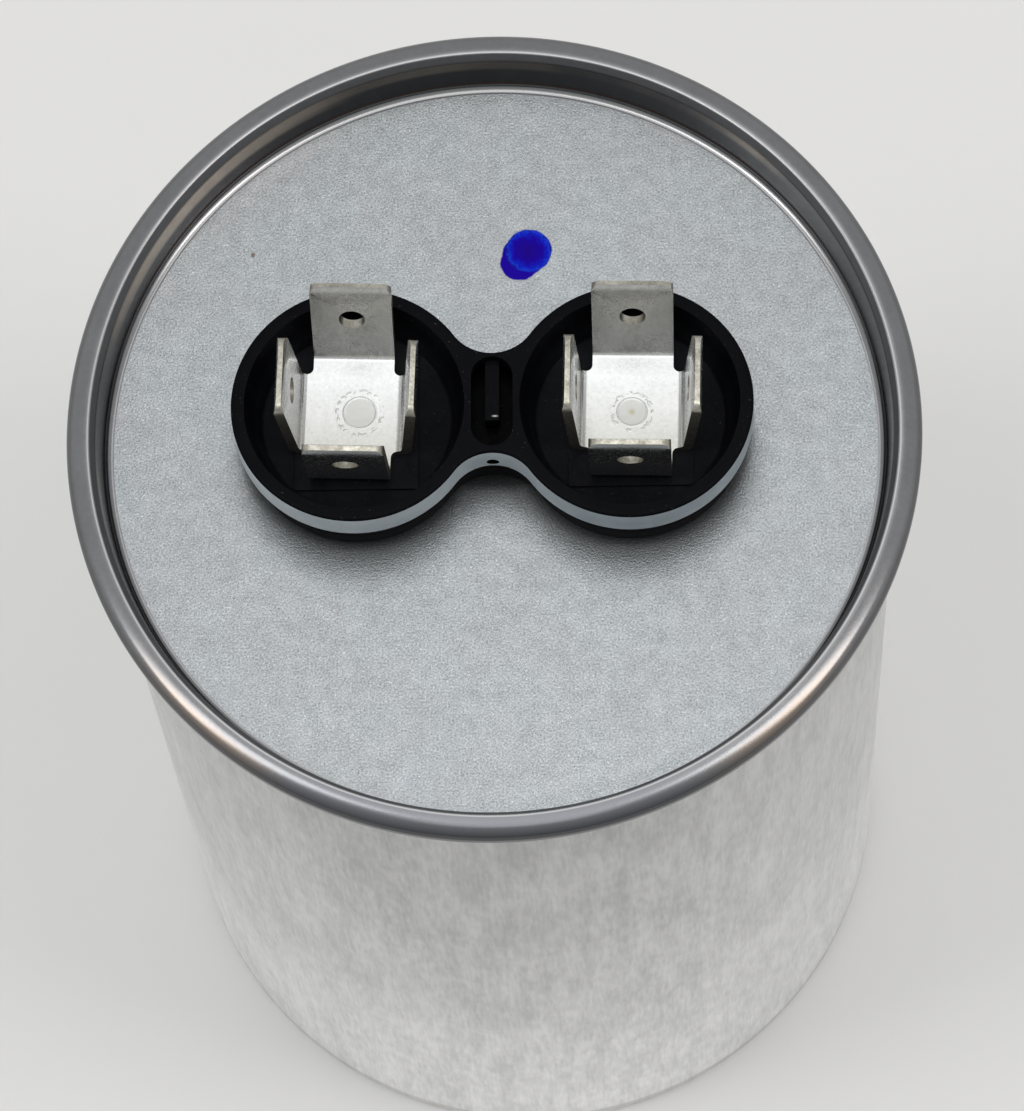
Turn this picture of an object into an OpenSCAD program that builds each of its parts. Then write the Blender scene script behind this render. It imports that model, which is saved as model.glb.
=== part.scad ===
/* [Can] */
// Outside diameter of the drawn can
can_d = 63.5; // [60:0.5:70]
// Wall thickness of the can
can_wall = 0.5; // [0.4:0.05:0.7]
// Thickness of the can's floor
can_floor = 0.8; // [0.6:0.1:1.2]
// Height from the foot to the top of the rolled seam
rim_z = 101; // [95:0.1:115]
// Radius of the corner round the foot
foot_r = 1.2; // [0.8:0.1:1.8]

/* [Seam and lid] */
// Thickness of the lid's sheet
lid_t = 0.35; // [0.3:0.01:0.38]
// Depth of the lid's panel below the top of the seam
lid_drop = 4.7; // [4.4:0.1:5.2]
// Gap between the foot of the lid's wall and the can's wall
lid_fit = 0.05; // [0.05:0.01:0.15]
// How far the lid's wall leans outwards on its way up to the seam
chuck_lean = 0.45; // [0.35:0.05:0.6]
// Diameter of the two holes for the terminal studs
lid_hole_d = 8; // [7.5:0.1:9]

/* [Terminal block] */
// Distance between the centres of the two cups
cup_pitch = 21.5; // [21:0.1:22.5]
// Outside radius of each cup
cup_r = 9.65; // [9.5:0.05:10]
// Width of the flat ring round each cup's mouth
ring_w = 1.05; // [0.8:0.05:1.3]
// Radius of each cup's floor
cup_floor_r = 7.5; // [7.4:0.05:7.6]
// Depth of each cup
cup_depth = 4.1; // [4:0.05:4.3]
// Width of the block at its waist
waist_w = 8.36; // [8.2:0.02:8.8]
// Height of the wide upper part of the block
flange_h = 3.05; // [2.8:0.05:3.3]
// Height of the whole block
block_h = 5.5; // [5.3:0.1:6]
// Step inwards from the wide part to the narrow part below it
neck_inset = 0.8; // [0.5:0.1:1]
// Distance of the block behind the centre of the lid
block_y = 1; // [0:0.1:1.5]
// Thickness of the rubber gasket under the block
gasket_t = 1.7; // [1.2:0.1:2]

/* [Terminals] */
// Width of each blade
blade_w = 6.35; // [6.35:0.01:6.4]
// Thickness of the terminal's sheet
blade_t = 0.8; // [0.78:0.01:0.84]
// Length of each blade from its bend to its tip
blade_l = 8.1; // [7.8:0.1:8.6]
// Inner radius of each bend
bend_r = 0.5; // [0.4:0.05:0.6]
// Distance between the faces of the left and right blades at the base
base_x = 8.1; // [8:0.05:8.3]
// Distance between the faces of the front and rear blades at the base
base_y = 9.6; // [9.4:0.05:9.8]
// Diameter of the hole in each blade
blade_hole_d = 2.06; // [1.8:0.02:2.2]
// Distance from each blade's tip to the centre of its hole
hole_from_tip = 3.75; // [3.6:0.05:4.1]

/* [Inside] */
// Gap between the wrapped winding and the can's wall
winding_gap = 2.75; // [2:0.25:5]
// Height of the ring that stands between the winding and the disc
spacer_h = 6.8; // [4:0.1:12]
// Outside diameter of the tube that the film is wound on
core_d = 12.2; // [10:0.1:14]
// Thickness of the metal sprayed on each end of the winding
spray_t = 0.6; // [0.4:0.1:0.8]
// Thickness of the wrap round the winding
wrap_t = 0.5; // [0.3:0.05:1]
// Diameter of the lead wires
lead_d = 1; // [0.8:0.1:1.2]

/* [Hidden] */
$fn = 72;
eps = 0.01;

can_r = can_d / 2;
half_pitch = cup_pitch / 2;

lid_z = rim_z - lid_drop;                    // upper face of the lid's panel
lid_under_z = lid_z - lid_t;
panel_bend_r = 0.5;                          // bend between the panel and the wall that rises from it
chuck_r = can_r - can_wall - lid_fit - lid_t;  // radius of that wall at its foot
chuck_top_r = chuck_r + chuck_lean;          // radius of that wall where the curl starts
chuck_top_z = rim_z - 0.7;

// seam: the sheets lie one outside the other, each clear of the next by seam_gap
seam_gap = 0.05;
seam_h = 2.3;                                // height of the seam
neck_r = chuck_top_r + lid_t + seam_gap;     // inner radius of the can's neck
hook_r = neck_r + can_wall + seam_gap;       // inner radius of the lid's hook
pocket_r = can_wall + 2 * seam_gap;          // room between the lid's hook and its outer wall
seam_r = hook_r + 2 * lid_t + pocket_r;
seam_bend_r = 0.9;                           // outer radius of the lid's curl, between its flat top and its side
seam_c = [seam_r - seam_bend_r, rim_z - seam_bend_r];
curl_r = seam_bend_r - lid_t - seam_gap;     // outer radius of the can's own curl
curl_in_r = seam_c[0] + curl_r - can_wall;   // inner radius of the part of that curl that hangs down
curl_under_z = seam_c[1] + curl_r - can_wall;
curl_end_z = rim_z - 1.45;                   // lower end of the can's curl
hook_top_z = rim_z - 1;                      // top of the lid's hook inside the can's curl
pocket_c = [hook_r + lid_t, rim_z - seam_h + lid_t + pocket_r];
crest_r = 0.5;                               // rounding of the seam's inner edge
crest_c = [chuck_top_r + crest_r, rim_z - crest_r];
flare_z = lid_under_z + panel_bend_r;        // height at which the can's wall starts to flare
neck_z = flare_z + 2;                        // height at which the flare ends

gasket_z = lid_z;
block_z = gasket_z + gasket_t;               // underside of the block
ring_z = block_z + block_h;                  // top of the block
cup_z = ring_z - cup_depth;                  // floor of the cups
pad_h = 0.25;                                // height of the raised pad on each cup's floor
pad_x = base_x + 1.6;
pad_y = base_y + 1.8;
pad_z = cup_z + pad_h;
gasket_inset = neck_inset - 0.1;
ring_r = cup_r - ring_w;

// the concave sides of the waist: circles tangent to both cups
fillet_r = (half_pitch * half_pitch + waist_w * waist_w / 4 - cup_r * cup_r) / (2 * cup_r - waist_w);
fillet_y = waist_w / 2 + fillet_r;
fillet_a = atan2(fillet_y, half_pitch);

slot_w = 3.25;                               // slot along the waist
slot_front = 0.58 - waist_w / 2;
slot_rear = waist_w / 2 - 0.38;
slot_depth = 2.6;
rib_w = 1.1;                                 // rib on the slot's floor
rib_front = -1.2;
rib_drop = 0.9;
vent_d = 1;                                  // small hole from the slot through the front wall
vent_z = ring_z - 2.15;

tip_r = 0.8;                                 // rounding of each blade's tip corners
tip_over = 0.03;                             // the rounding runs out a little past the blade's edges
notch_r = 0.35;                              // rounding of the inner corners between the blades
blade_leans = [[17.5, 6, 4.5, 5], [16.5, 4.5, 3, 5]];  // rear, front, left, right, in degrees
terminal_turn = [-2, -1.4];                  // left and right terminal, in degrees
terminal_shift = [[-0.33, 0.4], [0.15, 0.35]];  // left and right terminal, from the centre of its cup

stud_head_d = 5.4;
stud_head_h = 0.7;
stud_d = 3.2;
stud_swage_d = 4.6;
stud_tail_d = 1.8;
bore_fit = 0.1;                              // gap round the studs' shanks, on the diameter
bushing_fit = 0.2;                           // gap round the bushings in the lid, on the diameter
bushing_flange_d = 11;
bushing_flange_h = 1.2;
washer_d = 8;
washer_t = 0.7;
bushing_z = lid_under_z - bushing_flange_h;  // underside of the bushings
washer_z = bushing_z - washer_t;             // underside of the washers
swage_z = washer_z - 0.7;                    // underside of the studs' swaged ends
tail_z = swage_z - 2.6;                      // lower end of the studs

insulator_t = 1.2;                           // floor of the tray under the winding
insulator_step = 2;                          // height of the ring that carries the winding
insulator_r = can_r - can_wall - 0.5;
disc_t = 1.6;
disc_z = tail_z - 1.15 - disc_t;             // underside of the interrupter disc
disc_r = insulator_r;
disc_vent_r = 20;                            // distance of the disc's two vents from its centre
disc_vent_d = 6;
winding_d = can_d - 2 * (can_wall + winding_gap + wrap_t);
spray_bottom_z = can_floor + insulator_t + insulator_step;
winding_l = disc_z - spacer_h - 2 * spray_t - spray_bottom_z;
winding_z = spray_bottom_z + spray_t;
winding_top_z = winding_z + winding_l;
spray_top_z = winding_top_z + spray_t;
core_r = core_d / 2;
core_wall = 1.6;
lead_hole_d = lead_d + 0.4;
sleeve_wall = 0.5;
sleeve_z = [spray_bottom_z + 4, spray_top_z - 3.2];

short_lead_route = [[-half_pitch, block_y, tail_z], [-half_pitch, block_y, spray_top_z + lead_d / 2],
                    [-17, block_y, spray_top_z + lead_d / 2]];
long_lead_low_z = spray_bottom_z - lead_d / 2;
long_lead_route = [[half_pitch, block_y, tail_z], [half_pitch, block_y, disc_z - 2.5], [0, 0, disc_z - 4],
                   [0, 0, long_lead_low_z], [11, 0, long_lead_low_z]];

// points of an arc about c, from angle a to angle b in n steps
function arc(c, r, a, b, n) = [for (i = [0:n]) c + r * [cos(a + (b - a) * i / n), sin(a + (b - a) * i / n)]];

// outline of the two cups and the waist between them, moved inwards by inset
module dumbbell(inset) {
    tangent = (cup_r - inset) * [cos(fillet_a), sin(fillet_a)];
    for (side = [-1, 1]) translate([side * half_pitch, 0]) circle(r = cup_r - inset);
    difference() {
        square(2 * [half_pitch - tangent[0], tangent[1]], center = true);
        for (side = [-1, 1]) translate([0, side * fillet_y]) circle(r = fillet_r + inset);
    }
}

// outline of a slot with round ends along Y, from y0 to y1
module obround(w, y0, y1) {
    for (y = [y0 + w / 2, y1 - w / 2]) translate([0, y]) circle(d = w);
    translate([-w / 2, y0 + w / 2]) square([w, y1 - y0 - w]);
}

module at_cup(side) {
    translate([side * half_pitch, block_y, 0]) children();
}

module ring(r_out, r_in, z0, z1) {
    difference() {
        translate([0, 0, z0]) cylinder(r = r_out, h = z1 - z0);
        translate([0, 0, z0 - 1]) cylinder(r = r_in, h = z1 - z0 + 2);
    }
}

// a round wire along a list of points, each length run on a little past its corners
module wire(d, route) {
    last = len(route) - 2;
    for (i = [0:last]) {
        v = route[i + 1] - route[i];
        l = norm(v);
        before = i > 0 ? d / 2 : 0;
        after = i < last ? d / 2 : 0;
        translate(route[i]) rotate([0, acos(v[2] / l), atan2(v[1], v[0])]) translate([0, 0, -before])
            cylinder(d = d, h = before + l + after, $fn = 16);
    }
}

// the drawn can, its wall flared and curled outwards at the top
module can() {
    inner = can_r - can_wall;
    color("silver") rotate_extrude() polygon(concat(
        [[0, 0]],
        arc([can_r - foot_r, foot_r], foot_r, -90, 0, 5),
        [[can_r, flare_z], [neck_r + can_wall, neck_z], [neck_r + can_wall, curl_under_z]],
        [[curl_in_r, curl_under_z], [curl_in_r, curl_end_z], [seam_c[0] + curl_r, curl_end_z]],
        arc(seam_c, curl_r, 0, 90, 5),
        arc(crest_c, crest_r - lid_t - seam_gap, 90, 180, 3),
        [[neck_r, neck_z], [inner, flare_z]],
        arc([inner - 0.6, can_floor + 0.6], 0.6, 0, -90, 3),
        [[0, can_floor]]));
}

// the pressed lid: flat panel, wall, and the curl rolled round the can's edge
module lid() {
    color("lightsteelblue") difference() {
        rotate_extrude() polygon(concat(
            [[0, lid_under_z]],
            [[chuck_r + lid_t - panel_bend_r, lid_under_z], [chuck_r + lid_t, lid_under_z + panel_bend_r]],
            [[chuck_top_r + lid_t, chuck_top_z]],
            arc(crest_c, crest_r - lid_t, 180, 90, 3),
            arc(seam_c, seam_bend_r - lid_t, 90, 0, 5),
            arc(pocket_c, pocket_r, 0, -90, 4),
            [[hook_r + lid_t, hook_top_z], [hook_r, hook_top_z], [hook_r, rim_z - seam_h]],
            arc(pocket_c, pocket_r + lid_t, -90, 0, 6),
            arc(seam_c, seam_bend_r, 0, 90, 7),
            arc(crest_c, crest_r, 90, 170, 5),
            [[chuck_r, lid_z + panel_bend_r]],
            arc([chuck_r - panel_bend_r, lid_z + panel_bend_r], panel_bend_r, -15, -90, 3),
            [[0, lid_z]]));
        for (side = [-1, 1]) at_cup(side)
            translate([0, 0, lid_under_z - 1]) cylinder(d = lid_hole_d, h = lid_t + 2);
    }
}

// the moulded block: two cups, the waist between them and a narrower foot
module terminal_block() {
    color([0.07, 0.07, 0.08]) difference() {
        translate([0, block_y, 0]) union() {
            translate([0, 0, block_z]) linear_extrude(block_h) dumbbell(neck_inset);
            translate([0, 0, ring_z - flange_h]) linear_extrude(flange_h) dumbbell(0);
        }
        for (side = [-1, 1]) at_cup(side) {
            cup_hollow();
            translate([0, 0, block_z - 1]) cylinder(d = stud_d + bore_fit, h = block_h);
            translate([0, 0, pad_z - stud_head_h]) cylinder(d = stud_head_d + bore_fit, h = block_h);
        }
        translate([0, block_y, 0]) waist_slot();
    }
}

// the space inside one cup, with the raised pad left standing on its floor
module cup_hollow() {
    over = 1;
    slope = (ring_r - cup_floor_r) / cup_depth;
    difference() {
        translate([0, 0, cup_z]) cylinder(r1 = cup_floor_r, r2 = ring_r + slope * over, h = cup_depth + over);
        translate([-pad_x / 2, -pad_y / 2, cup_z - over]) cube([pad_x, pad_y, pad_h + over]);
    }
}

// the slot in the waist, its rib and the small hole through the front wall
module waist_slot() {
    difference() {
        translate([0, 0, ring_z - slot_depth])
            linear_extrude(slot_depth + 1) obround(slot_w, slot_front, slot_rear);
        translate([-rib_w / 2, rib_front, ring_z - slot_depth - 1])
            cube([rib_w, slot_rear - rib_front + 1, slot_depth + 1 - rib_drop]);
    }
    translate([0, slot_front + 1, vent_z]) rotate([90, 0, 0]) cylinder(d = vent_d, h = 3, $fn = 24);
}

module block_gasket() {
    color([0.05, 0.05, 0.05]) difference() {
        translate([0, block_y, gasket_z]) linear_extrude(gasket_t) dumbbell(gasket_inset);
        for (side = [-1, 1]) at_cup(side)
            translate([0, 0, gasket_z - 1]) cylinder(d = stud_d + bore_fit, h = gasket_t + 2);
    }
}

// side view of one blade: a stub of the base, the bend and the blade, leaning outwards
module blade_profile(reach, lean) {
    bend_c = [reach - bend_r, blade_t + bend_r];
    along = [sin(lean), cos(lean)];
    inside = arc(bend_c, bend_r, -90, -lean, 8);
    outside = arc(bend_c, bend_r + blade_t, -lean, -90, 8);
    polygon(concat([[0, 0], [0, blade_t]], inside,
        [inside[8] + blade_l * along, outside[0] + blade_l * along], outside));
}

// what is cut from a square-ended blade: the two corners of its tip and its hole
module tip_cut() {
    x = blade_w / 2 - tip_r + tip_over;
    y = blade_l - tip_r + tip_over;
    for (side = [0, 1]) mirror([side, 0])
        polygon(concat([[x + 2, y], [x + 2, y + 2], [x, y + 2]], arc([x, y], tip_r, 90, 0, 6)));
    translate([0, blade_l - hole_from_tip]) circle(d = blade_hole_d, $fn = 32);
}

// one blade with its bend, still square-ended, facing +X
module blade(reach, lean) {
    rotate([90, 0, 0]) translate([0, 0, -blade_w / 2]) linear_extrude(blade_w) blade_profile(reach, lean);
}

// the cutter for that blade's tip
module blade_cut(reach, lean) {
    translate([reach - bend_r, 0, blade_t + bend_r]) rotate([0, lean, 0])
        translate([bend_r - 1, 0, 0]) rotate([90, 0, 90]) linear_extrude(blade_t + 2) tip_cut();
}

// the flat cross that the blades are bent from, its four inner corners rounded
module base_plate() {
    linear_extrude(blade_t) {
        square([base_x - 2 * bend_r, blade_w], center = true);
        square([blade_w, base_y - 2 * bend_r], center = true);
        for (a = [0, 1], b = [0, 1]) mirror([a, 0]) mirror([0, b])
            translate([blade_w / 2, blade_w / 2]) difference() {
                square(notch_r);
                translate([notch_r, notch_r]) circle(r = notch_r, $fn = 24);
            }
    }
}

module terminal(side) {
    hand = side < 0 ? 0 : 1;
    turns = [90, -90, 180, 0];
    reaches = [base_y / 2, base_y / 2, base_x / 2, base_x / 2];
    leans = blade_leans[hand];
    shift = terminal_shift[hand];
    color("gainsboro") at_cup(side) translate([shift[0], shift[1], pad_z]) rotate([0, 0, terminal_turn[hand]])
        difference() {
            union() {
                base_plate();
                for (i = [0:3]) rotate([0, 0, turns[i]]) blade(reaches[i], leans[i]);
            }
            for (i = [0:3]) rotate([0, 0, turns[i]]) blade_cut(reaches[i], leans[i]);
        }
}

// a turned stud: head under the terminal, shank through the lid, swaged end and solder tail
module stud(side) {
    color("goldenrod") at_cup(side) union() {
        translate([0, 0, pad_z - stud_head_h]) cylinder(d = stud_head_d, h = stud_head_h);
        translate([0, 0, swage_z]) cylinder(d = stud_d, h = pad_z - stud_head_h - swage_z + eps);
        translate([0, 0, swage_z]) cylinder(d = stud_swage_d, h = washer_z - swage_z);
        translate([0, 0, tail_z]) cylinder(d = stud_tail_d, h = swage_z - tail_z + eps);
    }
}

// the insulating bushing that lines one hole of the lid
module bushing(side) {
    color("ivory") at_cup(side) difference() {
        union() {
            translate([0, 0, bushing_z]) cylinder(d = bushing_flange_d, h = bushing_flange_h);
            translate([0, 0, bushing_z]) cylinder(d = lid_hole_d - bushing_fit, h = lid_z - bushing_z);
        }
        translate([0, 0, bushing_z - 1]) cylinder(d = stud_d + bore_fit, h = lid_z - bushing_z + 2);
    }
}

module stud_washer(side) {
    color("gray") at_cup(side) difference() {
        translate([0, 0, washer_z]) cylinder(d = washer_d, h = washer_t);
        translate([0, 0, washer_z - 1]) cylinder(d = stud_d + bore_fit, h = washer_t + 2);
    }
}

// the disc that the leads pass through, which snaps them when the lid bulges
module interrupter_disc() {
    color("peru") difference() {
        translate([0, 0, disc_z]) cylinder(r = disc_r, h = disc_t);
        for (side = [-1, 1]) at_cup(side)
            translate([0, 0, disc_z - 1]) cylinder(d = lead_hole_d, h = disc_t + 2, $fn = 24);
        for (a = [90, 270]) rotate([0, 0, a])
            translate([disc_vent_r, 0, disc_z - 1]) cylinder(d = disc_vent_d, h = disc_t + 2, $fn = 36);
    }
}

module top_spacer() {
    color("wheat") ring(winding_d / 2 - 1.5, winding_d / 2 - 3.5, spray_top_z, disc_z);
}

module winding() {
    color("khaki") ring(winding_d / 2, core_r, winding_z, winding_top_z);
}

module core_tube() {
    color("white") ring(core_r, core_r - core_wall, spray_bottom_z + 0.2, spray_top_z + 0.6);
}

module end_spray(z) {
    color("darkgray") ring(winding_d / 2 - 0.4, core_r, z, z + spray_t);
}

module winding_wrap() {
    color("beige") ring(winding_d / 2 + wrap_t, winding_d / 2, winding_z, winding_top_z);
}

// the tray that keeps the winding off the can's floor
module bottom_insulator() {
    color("saddlebrown") union() {
        translate([0, 0, can_floor]) cylinder(r = insulator_r - 0.2, h = insulator_t);
        ring(winding_d / 2 - 1, winding_d / 2 - 8, can_floor + insulator_t - eps, spray_bottom_z);
    }
}

module short_lead() {
    color("tan") wire(lead_d, short_lead_route);
}

module long_lead() {
    color("tan") wire(lead_d, long_lead_route);
}

module lead_sleeve() {
    color("firebrick") ring(lead_d / 2 + sleeve_wall, lead_d / 2, sleeve_z[0], sleeve_z[1]);
}

// solder round the lower end of one stud's tail and the top of its lead
module solder_stud(side) {
    color("lightgray") at_cup(side) difference() {
        translate([0, 0, tail_z - 1]) cylinder(d1 = 2, d2 = 3, h = 2, $fn = 32);
        translate([0, 0, tail_z]) cylinder(d = stud_tail_d, h = 2, $fn = 32);
        translate([0, 0, tail_z - 2]) cylinder(d = lead_d, h = 2 + eps, $fn = 16);
    }
}

// a blob of solder over the end of a lead, on a sprayed face
module solder_spray(tip, up) {
    color("lightgray") difference() {
        intersection() {
            translate(tip - [0, 0, up * lead_d / 2]) sphere(r = 2, $fn = 32);
            translate(tip + [-3, -3, up > 0 ? -lead_d / 2 : lead_d / 2 - 3]) cube([6, 6, 3]);
        }
        translate(tip - [sign(tip[0]) * 3, 0, 0]) rotate([0, sign(tip[0]) * 90, 0])
            cylinder(d = lead_d, h = 3, $fn = 16);
    }
}

can();
lid();
terminal_block();
block_gasket();
terminal(-1);  // terminal_left
terminal(1);  // terminal_right
stud(-1);  // stud_left
stud(1);  // stud_right
bushing(-1);  // bushing_left
bushing(1);  // bushing_right
stud_washer(-1);  // stud_washer_left
stud_washer(1);  // stud_washer_right
interrupter_disc();
top_spacer();
winding();
core_tube();
end_spray(winding_top_z);  // end_spray_top
end_spray(spray_bottom_z);  // end_spray_bottom
winding_wrap();
bottom_insulator();
short_lead();
long_lead();
lead_sleeve();
solder_stud(-1);  // solder_stud_left
solder_stud(1);  // solder_stud_right
solder_spray(short_lead_route[2], 1);  // solder_spray_top
solder_spray(long_lead_route[4], -1);  // solder_spray_bottom
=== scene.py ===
import math
import bmesh
import bpy
import numpy as np
from mathutils import Matrix, Vector


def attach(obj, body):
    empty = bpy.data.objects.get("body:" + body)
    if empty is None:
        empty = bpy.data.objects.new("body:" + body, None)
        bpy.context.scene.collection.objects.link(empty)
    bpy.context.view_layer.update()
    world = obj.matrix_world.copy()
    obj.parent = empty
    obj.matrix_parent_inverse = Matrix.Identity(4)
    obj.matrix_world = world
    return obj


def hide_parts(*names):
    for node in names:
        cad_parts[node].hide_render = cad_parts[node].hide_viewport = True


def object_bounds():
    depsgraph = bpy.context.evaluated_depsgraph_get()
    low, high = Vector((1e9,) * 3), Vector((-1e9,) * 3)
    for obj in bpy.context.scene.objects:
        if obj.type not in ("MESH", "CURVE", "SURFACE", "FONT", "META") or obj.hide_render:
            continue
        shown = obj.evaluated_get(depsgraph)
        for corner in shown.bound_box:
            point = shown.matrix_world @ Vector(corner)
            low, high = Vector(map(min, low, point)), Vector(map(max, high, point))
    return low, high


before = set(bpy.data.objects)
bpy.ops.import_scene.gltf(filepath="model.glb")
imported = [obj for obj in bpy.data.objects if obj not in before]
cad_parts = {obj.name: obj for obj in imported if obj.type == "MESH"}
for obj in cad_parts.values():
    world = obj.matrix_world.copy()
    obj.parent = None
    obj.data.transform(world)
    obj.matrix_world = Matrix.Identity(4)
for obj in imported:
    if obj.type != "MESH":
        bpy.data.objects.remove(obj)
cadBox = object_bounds()
mm = 0.001
print("frame loaded:", len(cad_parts), "nodes")


def fill(tree, socket, value):
    # value: a number, a colour or another node's output
    if isinstance(value, (int, float)):
        socket.default_value = value
    elif isinstance(value, tuple):
        socket.default_value = (*value, 1)
    else:
        tree.links.new(value, socket)


def node(tree, kind, **values):
    # values: the node's own settings, or plain values for its inputs, with _ for a space in their names
    made = tree.nodes.new("ShaderNode" + kind)
    for key, value in values.items():
        if hasattr(made, key):
            setattr(made, key, value)
        else:
            made.inputs[key.replace("_", " ")].default_value = value
    return made


def calc(tree, operation, *values):
    # the output of one Math node, or of a chain of them for more than two values
    made = node(tree, "Math", operation=operation)
    for socket, value in zip(made.inputs, values[:2]):
        fill(tree, socket, value)
    rest = values[2:]
    return calc(tree, operation, made.outputs[0], *rest) if rest else made.outputs[0]


def spread(tree, value, low, high, outLow, outHigh):
    # value's range from low to high carried over to outLow to outHigh, and held beyond its ends
    made = node(tree, "MapRange", From_Min=low, From_Max=high, To_Min=outLow, To_Max=outHigh)
    fill(tree, made.inputs["Value"], value)
    return made.outputs[0]


def ramp(tree, value, stops):
    made = node(tree, "ValToRGB")
    while len(made.color_ramp.elements) < len(stops):
        made.color_ramp.elements.new(0.5)
    for element, (place, colour) in zip(made.color_ramp.elements, stops):
        element.position = place
        element.color = (*colour, 1)
    fill(tree, made.inputs[0], value)
    return made.outputs[0]


def blend(tree, amount, a, b, how="MIX"):
    # a and b: colours or outputs; 6, 7 and 2 are the Mix node's sockets for colours
    made = node(tree, "Mix", data_type="RGBA", blend_type=how)
    for socket, value in ((made.inputs[0], amount), (made.inputs[6], a), (made.inputs[7], b)):
        fill(tree, socket, value)
    return made.outputs[2]


cameraSet = {
    "place": (15.92, -156.284, 523.423),   # mm, in the part's own frame
    "turn": -5.678,                        # degrees away from +Y
    "down": 70.911,                        # degrees below level
    "roll": -6.189,                        # degrees about the line of sight
    "lens": 186.66, "sensor": 36,          # mm, focal length and the sensor's height
    "clip": (0.05, 20),                    # m
}


def makeCamera(s):
    turn, down, roll = (math.radians(s[k]) for k in ("turn", "down", "roll"))
    ahead = Vector((math.sin(turn) * math.cos(down), math.cos(turn) * math.cos(down), -math.sin(down)))
    right = Vector((math.cos(turn), -math.sin(turn), 0))
    up = right.cross(ahead)
    side = right * math.cos(roll) + up * math.sin(roll)
    top = up * math.cos(roll) - right * math.sin(roll)
    data = bpy.data.cameras.new("camera")
    data.sensor_fit = "VERTICAL"
    data.sensor_height = s["sensor"]
    data.lens = s["lens"]
    data.clip_start, data.clip_end = s["clip"]
    camera = bpy.data.objects.new("camera", data)
    camera.matrix_world = Matrix((side, top, -ahead)).transposed().to_4x4()
    camera.location = Vector(s["place"]) * mm
    bpy.context.scene.collection.objects.link(camera)
    bpy.context.scene.camera = camera


# direction from the part, distance and size in m, watts, colour
lampSet = {
    "softboxAbove": {"from": (0.0, 0.06, 1.0), "away": 1.25, "size": (0.46, 1.25),
                     "watts": 2.0, "colour": (1.0, 0.998, 0.99)},
    "softboxLeft": {"from": (-0.48, -0.13, 0.87), "away": 1.2, "size": (0.28, 0.80),
                    "watts": 2.8, "colour": (1.0, 0.985, 0.97)},
    "softboxRight": {"from": (0.48, -0.13, 0.87), "away": 1.2, "size": (0.28, 0.80),
                     "watts": 2.8, "colour": (1.0, 0.965, 0.93)},
}


def makeLamp(name, s):
    data = bpy.data.lights.new(name, "AREA")
    data.shape = "RECTANGLE"
    data.size, data.size_y = s["size"]
    data.energy = s["watts"]
    data.color = s["colour"]
    lamp = bpy.data.objects.new(name, data)
    lamp.location = Vector(s["from"]).normalized() * s["away"] + Vector((0, 0, cadBox[1][2]))
    lamp.rotation_euler = Vector(s["from"]).to_track_quat("Z", "Y").to_euler()
    bpy.context.scene.collection.objects.link(lamp)


worldSet = {
    "sky": [(0.0, (0.60, 0.605, 0.61)), (0.5, (0.66, 0.665, 0.67)), (0.95, (0.62, 0.625, 0.63))],
    "front": (-0.25, -1.0, 1.0, 0.55),     # the side the camera stands on is darker
}


def makeWorld(s):
    world = bpy.data.worlds.new("studio")
    bpy.context.scene.world = world
    world.use_nodes = True
    tree = world.node_tree
    tree.nodes.clear()
    out, back = node(tree, "OutputWorld"), node(tree, "Background")
    split, where = node(tree, "SeparateXYZ"), node(tree, "TexCoord")
    fill(tree, split.inputs[0], where.outputs["Generated"])
    fill(tree, back.inputs["Color"], ramp(tree, split.outputs["Z"], s["sky"]))
    fill(tree, back.inputs["Strength"], spread(tree, split.outputs["Y"], *s["front"]))
    fill(tree, out.inputs["Surface"], back.outputs[0])


bpy.context.scene.view_settings.view_transform = "Standard"
makeCamera(cameraSet)
for name, lamp in lampSet.items():
    makeLamp(name, lamp)
makeWorld(worldSet)
print("camera, lamps and world made")


def putMesh(name, points, faces, smooth=40):
    # points: (n, 3) in mm; faces: list or array of corner numbers; edges sharper than smooth degrees stay sharp
    mesh = bpy.data.meshes.new(name)
    mesh.from_pydata((np.asarray(points, float) * mm).tolist(), [], [list(map(int, f)) for f in faces])
    mesh.update()
    shadeSmooth(mesh, smooth)
    piece = bpy.data.objects.new(name, mesh)
    bpy.context.scene.collection.objects.link(piece)
    return piece


def shadeSmooth(mesh, limit):
    mesh.polygons.foreach_set("use_smooth", np.ones(len(mesh.polygons), bool))
    mesh.set_sharp_from_angle(angle=math.radians(limit))


def gridFaces(nu, nv, closedU, closedV):
    # the four corners of every cell of an nu by nv grid, as whole arrays
    u, v = np.meshgrid(np.arange(nu if closedU else nu - 1), np.arange(nv if closedV else nv - 1), indexing="ij")
    u1, v1 = (u + 1) % nu, (v + 1) % nv
    return np.stack([u * nv + v, u1 * nv + v, u1 * nv + v1, u * nv + v1], -1).reshape(-1, 4)


def circlePoints(radiusX, radiusY, angles):
    # point(a) = (radiusX cos a, radiusY sin a)
    return np.stack([radiusX * np.cos(angles), radiusY * np.sin(angles)], 1)


def fullTurn(count):
    return np.linspace(0, 2 * np.pi, count, endpoint=False)


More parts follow.
